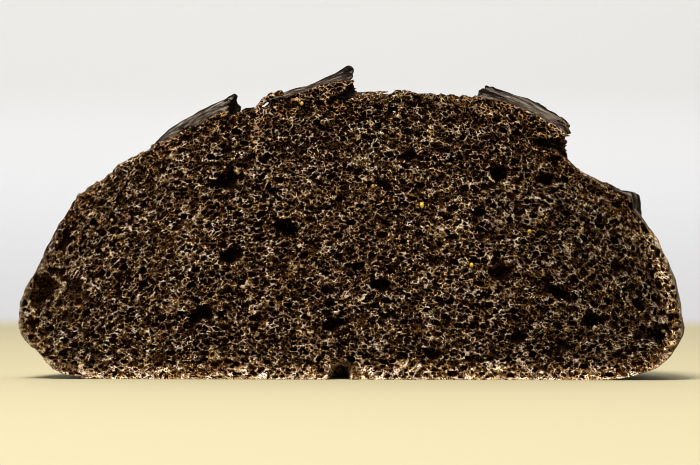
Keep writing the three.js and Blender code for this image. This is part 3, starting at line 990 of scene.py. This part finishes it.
def crumb_flow(nodes, place, axes):
    """Places in the crumb with its rows laid level: they follow the dome above and the base below."""
    out = nodes.times(axes["X"], 1.0 / (DOME_RADIUS * FLOW_RADIUS * MM))
    level = nodes.math("SQRT", nodes.minus(1.0, nodes.times(out, out)))
    rise = nodes.math("DIVIDE", axes["Z"], nodes.plus(nodes.times(level, FLOW_BEND), 1.0 - FLOW_BEND))
    across = nodes.times(axes["X"], FLOW_WIDTH)
    return nodes.add("ShaderNodeCombineXYZ", {"X": across, "Y": axes["Y"], "Z": rise}).outputs["Vector"]


def wall_net(nodes, flow, stray, size, half):
    """The walls between cells of a size: 1 in a wall and 0 in a cell."""
    links = {"Vector": flow, "Scale": 1.0 / (size * MM)}
    away = nodes.add("ShaderNodeTexVoronoi", links, feature="DISTANCE_TO_EDGE").outputs["Distance"]
    return nodes.step(nodes.plus(away, stray), half, WALL_CORE * half)


def painted_glints(nodes, place):
    """Painted highlights: small bright beads strewn over the walls."""
    spots = nodes.add("ShaderNodeTexVoronoi", {"Vector": place, "Scale": 1.0 / (GLINT_SIZE * MM)}).outputs
    draw = nodes.axes(spots["Color"])["X"]
    return nodes.times(nodes.step(spots["Distance"], *GLINT_EDGE), nodes.step(draw, *GLINT_SHOWN))


def rim_mask(nodes, axes, skin):
    """The crumb's rim along the base: finer cells, and paler as denser crumb and painted bounce light."""
    climb = nodes.times(nodes.step(axes["X"], *RIM_CLIMB_FROM), RIM_CLIMB)
    height = nodes.minus(axes["Z"], climb)
    return nodes.times(nodes.step(skin, *RIM_DEPTHS), nodes.step(height, *RIM_HEIGHTS))


def painted_cell_shade(nodes, place, flow, axes, wall):
    """Painted shade in the finest cells, from their walls, dim places, painted highlights and closed clumps.
    """
    # painted shade: cells darker in a net, more so at the top, and in dim places; highlights and clumps
    # lighter
    netted = nodes.blend(nodes.step(nodes.noise(flow, *NET_PATTERN), *NET_SPREAD), *NET_DEPTHS)
    netted = nodes.plus(netted, nodes.times(nodes.step(axes["Z"], *NET_TOP), NET_TOP_DEPTH))
    dim = nodes.step(nodes.noise(place, *DIM_PATTERN), *DIM_SPREAD)
    cell_shade = nodes.times(nodes.minus(1.0, wall), netted)
    cell_shade = nodes.plus(cell_shade, nodes.times(dim, DIM_DEPTH))
    cell_shade = nodes.minus(cell_shade, nodes.times(painted_glints(nodes, place), GLINT_RISE))
    clump = nodes.step(nodes.noise(flow, *CLUMP_PATTERN), *CLUMP_SPREAD)
    return nodes.times(cell_shade, nodes.blend(clump, 1.0, CLUMP_DEPTH))


def crumb_colour(nodes, place, axes, skin, shade_depth, grain):
    """The crumb's colour with its painted light and shade, and its cell walls as a height."""
    flow = crumb_flow(nodes, place, axes)
    rim = rim_mask(nodes, axes, skin)
    stray = nodes.times(nodes.minus(grain, 0.5), WALL_UNEVEN)
    inner = wall_net(nodes, flow, stray, CELL_SIZE, CELL_WALL)
    outer = wall_net(nodes, place, stray, RIM_CELL_SIZE, RIM_CELL_WALL)
    wall = nodes.blend(rim, inner, outer)
    cell_shade = painted_cell_shade(nodes, place, flow, axes, wall)
    # painted shade: deeper crumb and darker cells go further down the tones, towards near black
    colour = nodes.ramp(nodes.plus(nodes.times(shade_depth, SHADE_PER_DEPTH), cell_shade, clamp=True), CRUMB_LIGHT_TO_SHADE_TONES)
    patches = nodes.ramp(nodes.noise(flow, *PATCH_PATTERN), PATCH_FACTORS)
    colour = nodes.mix(1.0, colour, patches, "MULTIPLY")
    tints = nodes.ramp(nodes.noise(place, *TINT_PATTERN), TINT_FACTORS)
    colour = nodes.mix(1.0, colour, tints, "MULTIPLY")
    # painted shade: the crumb darker at the right and at the top, but not on the rim
    side_shade = nodes.math("MAXIMUM", nodes.step(axes["X"], *SHADE_RIGHT), nodes.step(axes["Z"], *SHADE_TOP))
    side_shade = nodes.times(side_shade, nodes.minus(1.0, rim))
    colour = nodes.mix(side_shade, colour, SIDE_SHADE_FACTOR, "MULTIPLY")
    upper = nodes.times(nodes.step(skin, *STREAK_DEPTHS), nodes.step(axes["Z"], *STREAK_HEIGHTS))
    fibres = nodes.noise(nodes.scaled(flow, STREAK_SCALE), *STREAK_PATTERN)
    streaks = nodes.ramp(fibres, STREAK_FACTORS)
    colour = nodes.mix(nodes.times(upper, STREAK_SHARE), colour, streaks, "MULTIPLY")
    # the rim along the base made paler, partly as denser crumb and partly as painted bounce light from the
    # floor
    rim_pale_and_light = nodes.times(rim, nodes.blend(nodes.step(axes["X"], *RIM_LEFT), RIM_LEFT_SHARE, 1.0))
    colour = nodes.mix(rim_pale_and_light, colour, RIM_PALE_AND_LIGHT_FACTOR, "MULTIPLY")
    band = nodes.times(nodes.step(skin, *BAND_DEPTHS), nodes.step(axes["Z"], *BAND_HEIGHTS))
    band = nodes.times(band, nodes.step(shade_depth, *BAND_HOLLOWS))
    band = nodes.times(band, nodes.step(axes["Z"], *BAND_FOOT))
    return nodes.mix(nodes.times(band, BAND_SHARE), colour, nodes.ramp(grain, BAND_TONES)), wall


def crust_colour(nodes, place, axes, back):
    """The crust's colour, floury in streaks along the front of the flaps, and the flour as a height."""
    raised = nodes.step(axes["Z"], *FLAP_HEIGHTS)
    streaks = nodes.noise(nodes.scaled(place, FLAP_STREAK_SCALE), *FLAP_STREAK_PATTERN)
    mottle = nodes.noise(place, *MOTTLE_PATTERN)
    dust = nodes.blend(nodes.step(back, *MOTTLE_START), streaks, mottle)
    crest = nodes.times(nodes.step(back, *CREST_START), nodes.step(back, *CREST_END))
    ledge = nodes.times(nodes.step(back, *LEDGE_START), nodes.step(back, *LEDGE_END))
    shift = nodes.minus(nodes.times(ledge, LEDGE_FLOUR), nodes.times(crest, CREST_BARE))
    floury = nodes.plus(dust, nodes.times(shift, raised))
    patches = nodes.minus(nodes.noise(place, *FLOUR_PATTERN), 0.5)
    floury = nodes.plus(floury, nodes.times(patches, FLOUR_SHARE))
    dusted = nodes.blend(nodes.step(back, *FLANK_FRONT), *FLANK_FLOUR)
    floury = nodes.plus(floury, nodes.times(nodes.step(axes["Z"], *FLANK_HEIGHTS), dusted))
    return nodes.ramp(floury, CRUST_TONES), dust


def bread_material():
    """Dark crumb with painted shade in its cells and painted light on their walls, under a dusty grey-brown
    crust.
    """
    material = bpy.data.materials.new("carob_bread")
    material.use_nodes = True
    tree = material.node_tree
    tree.nodes.clear()
    nodes = Nodes(tree)
    place = nodes.place()
    axes = nodes.axes(place)
    back = nodes.minus(axes["Y"], CUT_Y * MM)
    skin = nodes.add("ShaderNodeAttribute", attribute_name="skin").outputs["Fac"]
    shade_depth = nodes.add("ShaderNodeAttribute", attribute_name="shade_depth").outputs["Fac"]
    grain = nodes.noise(place, *GRAIN_PATTERN)
    crumb, wall = crumb_colour(nodes, place, axes, skin, shade_depth, grain)
    crust, dust = crust_colour(nodes, place, axes, back)
    edge = nodes.plus(skin, nodes.times(grain, COVER_STRAY))
    cover = nodes.times(nodes.step(edge, *COVER_DEPTHS), nodes.step(back, *COVER_START))
    crumb_height = nodes.plus(wall, nodes.times(grain, GRAIN_RISE))
    height = nodes.blend(cover, crumb_height, dust)
    bump = nodes.add("ShaderNodeBump", {"Strength": 1.0, "Distance": BUMP_HEIGHT, "Height": height})
    shader = nodes.add("ShaderNodeBsdfPrincipled", {
        "Base Color": nodes.mix(cover, crumb, crust),
        "Roughness": 0.8,
        "Specular IOR Level": 0.04,
        "Normal": bump.outputs["Normal"],
    })
    nodes.add("ShaderNodeOutputMaterial", {"Surface": shader.outputs["BSDF"]})
    return material


def grain_material():
    """Yellow grains with a slight shine."""
    material = bpy.data.materials.new("yellow_grain")
    material.use_nodes = True
    tree = material.node_tree
    nodes = Nodes(tree)
    colour = nodes.ramp(nodes.noise(nodes.place(), GRAIN_MOTTLE), GRAIN_TONES)
    shader = tree.nodes["Principled BSDF"]
    nodes.give(shader.inputs["Base Color"], colour)
    nodes.give(shader.inputs["Roughness"], 0.45)
    return material


def stage_material():
    """A matt sweep: a pale cream floor that turns into a pale grey backdrop, clear from its back."""
    material = bpy.data.materials.new("pale_sweep")
    material.use_nodes = True
    tree = material.node_tree
    nodes = Nodes(tree)
    height = nodes.axes(nodes.place())["Z"]
    # painted shade: the backdrop darker near the floor, paling higher up
    backdrop = nodes.mix(nodes.step(height, *BACKDROP_SHADE_FADE), *BACKDROP_TONES)
    shader = tree.nodes["Principled BSDF"]
    colour = nodes.mix(nodes.step(height, *BACKDROP_START), FLOOR_TONE, backdrop)
    nodes.give(shader.inputs["Base Color"], colour)
    nodes.give(shader.inputs["Roughness"], 0.9)
    clear = nodes.add("ShaderNodeBsdfTransparent").outputs["BSDF"]
    reverse = nodes.add("ShaderNodeNewGeometry").outputs["Backfacing"]
    shown = nodes.add("ShaderNodeMixShader", {0: reverse, 1: shader.outputs["BSDF"], 2: clear})
    nodes.give(tree.nodes["Material Output"].inputs["Surface"], shown.outputs["Shader"])
    return material


# Floor, light and camera, in metres where nothing else is said

SWEEP_HALF = 3.0
SWEEP_FORWARD = 2.35  # how far before the loaf's middle the floor's middle lies
SWEEP_RISE = 3.0
SWEEP_BEND = 0.12
BEND_SEGMENTS = 16
LIGHTS = [
    {"name": "key", "place": (-0.25, -0.75, 1.35), "size": 0.6, "power": 38.0},
    {"name": "top", "place": (0.2, 0.1, 1.5), "size": 1.2, "power": 8.0},
]
LIGHT_TARGET = (0.0, CUT_Y * MM, 0.05)
SKY_TONE = (1.0, 0.99, 0.97, 1.0)
SKY_STRENGTH = 0.25
# The photograph's frame and the camera's place in millimetres, read from the outline of the loaf
FRAME_WIDTH = 700
FRAME_HEIGHT = 465
SCALE = 0.325  # millimetres of the cut face to a pixel
FACE_MIDDLE = -0.16  # the cut face's middle
FACE_PIXEL = (349.5, 380.0)  # where that middle meets the floor
CAMERA_AWAY = 1300.0
CAMERA_ASIDE = 75.0
CAMERA_HEIGHT = 52.0
SENSOR = 36.0
PIXEL_FILTER = 1.0  # the photograph's fine grain is crisper than the usual filter leaves it


def pale_sweep():
    """A floor that bends up into a backdrop."""
    form = bmesh.new()
    bmesh.ops.create_grid(form, x_segments=1, y_segments=1, size=SWEEP_HALF)
    bmesh.ops.translate(form, verts=form.verts, vec=(0.0, -SWEEP_FORWARD, 0.0))
    rear = [edge for edge in form.edges if all(v.co.y > 0 for v in edge.verts)]
    raised = bmesh.ops.extrude_edge_only(form, edges=rear)
    lifted = [item for item in raised["geom"] if isinstance(item, bmesh.types.BMVert)]
    bmesh.ops.translate(form, verts=lifted, vec=(0.0, 0.0, SWEEP_RISE))
    corner = [edge for edge in form.edges if all(v.co.y > 0 and v.co.z < SWEEP_BEND for v in edge.verts)]
    bmesh.ops.bevel(
        form, geom=corner, offset=SWEEP_BEND, affect="EDGES", segments=BEND_SEGMENTS, profile=0.5, material=-1
    )
    bmesh.ops.recalc_face_normals(form, faces=form.faces)
    if any(face.normal.z < -0.5 for face in form.faces):
        bmesh.ops.reverse_faces(form, faces=form.faces)
    mesh = bpy.data.meshes.new("pale_sweep")
    form.to_mesh(mesh)
    form.free()
    mesh.polygons.foreach_set("use_smooth", np.ones(len(mesh.polygons), dtype=bool))
    mesh.materials.append(stage_material())
    sweep = bpy.data.objects.new("pale_sweep", mesh)
    bpy.context.scene.collection.objects.link(sweep)


def aimed(name, data, place, target):
    """A camera or light at a place, looking at a target."""
    thing = bpy.data.objects.new(name, data)
    bpy.context.scene.collection.objects.link(thing)
    thing.location = place
    thing.rotation_euler = (Vector(target) - Vector(place)).to_track_quat("-Z", "Y").to_euler()
    return thing


def studio_light():
    """A soft key light before and above the loaf, a wide one over it, and a faint even sky."""
    for settings in LIGHTS:
        light = bpy.data.lights.new(settings["name"], "AREA")
        light.shape = "DISK"
        light.size = settings["size"]
        light.energy = settings["power"]
        aimed(settings["name"], light, settings["place"], LIGHT_TARGET)
    world = bpy.data.worlds.new("studio")
    world.use_nodes = True
    sky = world.node_tree.nodes["Background"].inputs
    sky["Color"].default_value = SKY_TONE
    sky["Strength"].default_value = SKY_STRENGTH
    bpy.context.scene.world = world


def view_camera():
    """A camera at the photograph's viewing angle."""
    camera = bpy.data.cameras.new("camera")
    camera.sensor_width = SENSOR
    camera.lens = CAMERA_AWAY / SCALE * SENSOR / FRAME_WIDTH
    target_x = FACE_MIDDLE + (FRAME_WIDTH / 2 - FACE_PIXEL[0]) * SCALE
    target_z = (FACE_PIXEL[1] - FRAME_HEIGHT / 2) * SCALE
    place = Vector((FACE_MIDDLE + CAMERA_ASIDE, CUT_Y - CAMERA_AWAY, CAMERA_HEIGHT)) * MM
    target = Vector((target_x, CUT_Y, target_z)) * MM
    bpy.context.scene.camera = aimed("camera", camera, place, target)


bread_pieces(bread_material())
pale_sweep()
studio_light()
view_camera()
bpy.context.scene.view_settings.view_transform = "Standard"
bpy.context.scene.cycles.filter_width = PIXEL_FILTER
